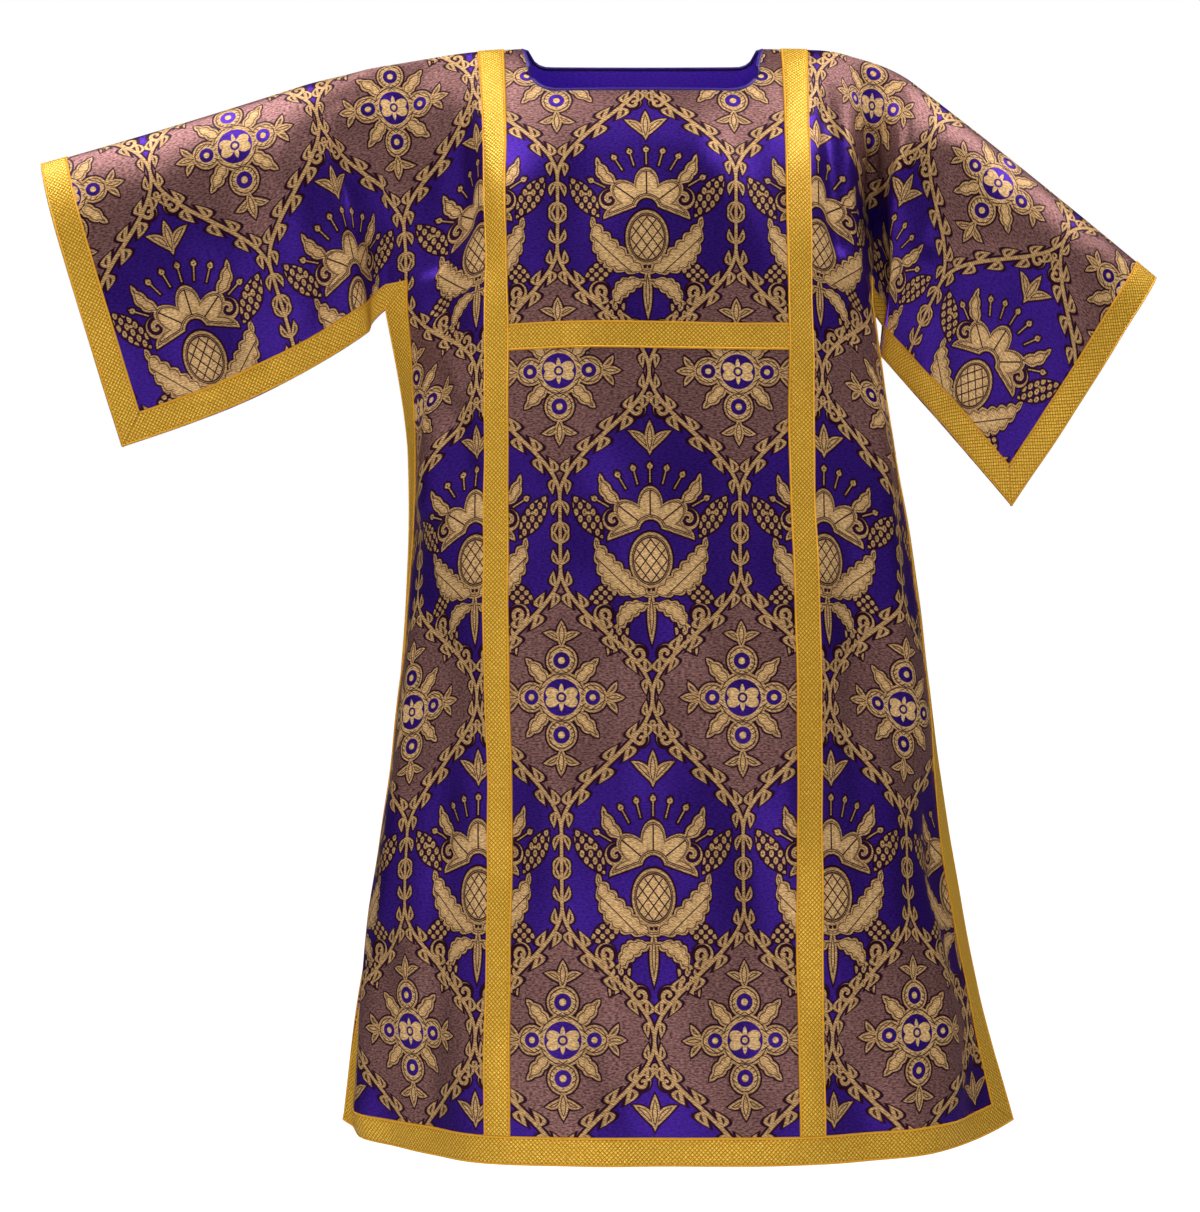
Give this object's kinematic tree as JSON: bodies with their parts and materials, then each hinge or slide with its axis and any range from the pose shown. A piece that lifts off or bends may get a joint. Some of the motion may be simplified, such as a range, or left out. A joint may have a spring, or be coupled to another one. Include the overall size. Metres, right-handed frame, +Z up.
{
  "type": "tunicle",
  "caption": "Purple and gold brocade tunicle, filled out as worn: wide short sleeves, square neck, open sides, gold galloon bands on shoulders, breast, cuffs, sides and hem.",
  "frame": {"origin": "Midway between the two neck points, on the shoulder seam, where the garment rests on the wearer's shoulders", "axes": "+Z up, front towards -Y, the sleeve on the right of the front view towards +X"},
  "size_m": [1.2513, 0.3613, 1.2262],
  "materials": {
    "brocade": "woven silk brocade, purple ground with taupe and gold figures",
    "galloon": "metallic gold braid, soft sheen",
    "lining_satin": "plain purple satin lining",
    "binding_satin": "rolled purple satin binding"
  },
  "bodies": {
    "root": {"front": "brocade", "back": "brocade", "neck_binding": "binding_satin", "back_neck_facing": "lining_satin", "clavus_left": "galloon", "clavus_right": "galloon", "cross_band_front": "galloon", "cross_band_back": "galloon", "cuff_band_left": "galloon", "cuff_band_right": "galloon", "undersleeve_band_front_left": "galloon", "undersleeve_band_back_left": "galloon", "undersleeve_band_front_right": "galloon", "undersleeve_band_back_right": "galloon", "side_band_front_left": "galloon", "side_band_back_left": "galloon", "side_band_front_right": "galloon", "side_band_back_right": "galloon", "hem_band_front": "galloon", "hem_band_back": "galloon"}
  },
  "joints": []
}
